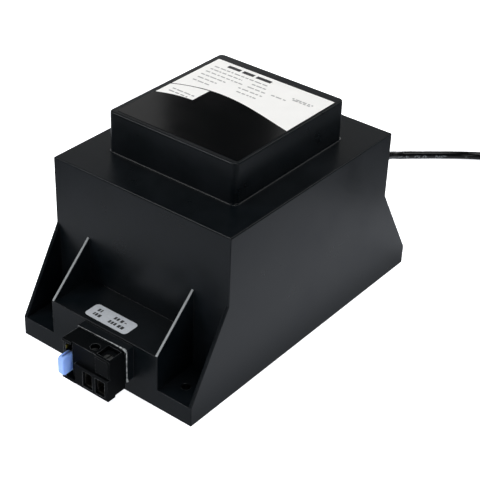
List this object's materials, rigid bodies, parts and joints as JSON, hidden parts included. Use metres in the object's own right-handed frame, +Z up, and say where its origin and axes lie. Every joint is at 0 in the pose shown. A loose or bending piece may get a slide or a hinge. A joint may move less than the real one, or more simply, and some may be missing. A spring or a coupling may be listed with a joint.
{
  "type": "low voltage transformer",
  "caption": "Potted low voltage transformer in a black stepped housing with gusseted flanges, screw terminals, a plug-in blade fuse and a mains cord.",
  "frame": {"origin": "centre of the device's base, on the mounting plane, without the cord", "axes": "+X across the housing, +Y along it towards the mains cord, +Z up from the mounting plane; the terminals and the fuse face -Y"},
  "size_m": [0.1987, 0.382, 0.1191],
  "materials": {
    "housing_plastic": "moulded black, satin",
    "core_steel": "stamped silicon steel sheets",
    "fastener_steel": "zinc plated",
    "bobbin_plastic": "moulded, natural",
    "winding_copper": "enamelled copper wire",
    "winding_tape": "polyester tape",
    "cutout_case": "moulded",
    "potting": "cast resin with a filler",
    "terminal_plastic": "moulded black polyamide",
    "terminal_metal": "zinc plated",
    "fuse_plastic": "moulded, translucent blue",
    "fuse_metal": "tinned zinc",
    "clip_brass": "stamped",
    "gland_rubber": "moulded",
    "clamp_plastic": "moulded",
    "cord_sheath": "extruded black PVC",
    "tie_wire": "plastic coated twist tie",
    "plug_plastic": "moulded black PVC",
    "pin_metal": "nickel plated brass",
    "lead_brown": "extruded",
    "lead_blue": "extruded",
    "lead_black": "extruded",
    "rating_film": "printed film with a white field",
    "output_film": "silver grey film"
  },
  "bodies": {
    "root": {"housing": "housing_plastic", "core_e_stack": "core_steel", "core_i_stack": "core_steel", "core_bolts": "fastener_steel", "core_nuts": "fastener_steel", "core_washers": "fastener_steel", "coil_bobbin": "bobbin_plastic", "primary_winding": "winding_copper", "primary_wrap": "winding_tape", "secondary_winding": "winding_copper", "secondary_wrap": "winding_tape", "thermal_cutout": "cutout_case", "primary_lead_live": "lead_brown", "primary_lead_neutral": "lead_blue", "secondary_lead_common": "lead_black", "secondary_lead_fused": "lead_black", "terminal_block": "terminal_plastic", "clamp_cage_right": "terminal_metal", "clamp_cage_left": "terminal_metal", "clamp_screw_right": "terminal_metal", "clamp_screw_left": "terminal_metal", "fuse_body": "fuse_plastic", "fuse_element": "fuse_metal", "fuse_clip_upper": "clip_brass", "fuse_clip_lower": "clip_brass", "cord_gland": "gland_rubber", "cord_clamp": "clamp_plastic", "mains_cord": "cord_sheath", "potting_resin": "potting", "rating_label": "rating_film", "output_label": "output_film", "cord_coil": "cord_sheath", "coil_tie": "tie_wire", "cord_tail": "cord_sheath", "plug_body": "plug_plastic", "plug_pins": "pin_metal"}
  },
  "joints": []
}
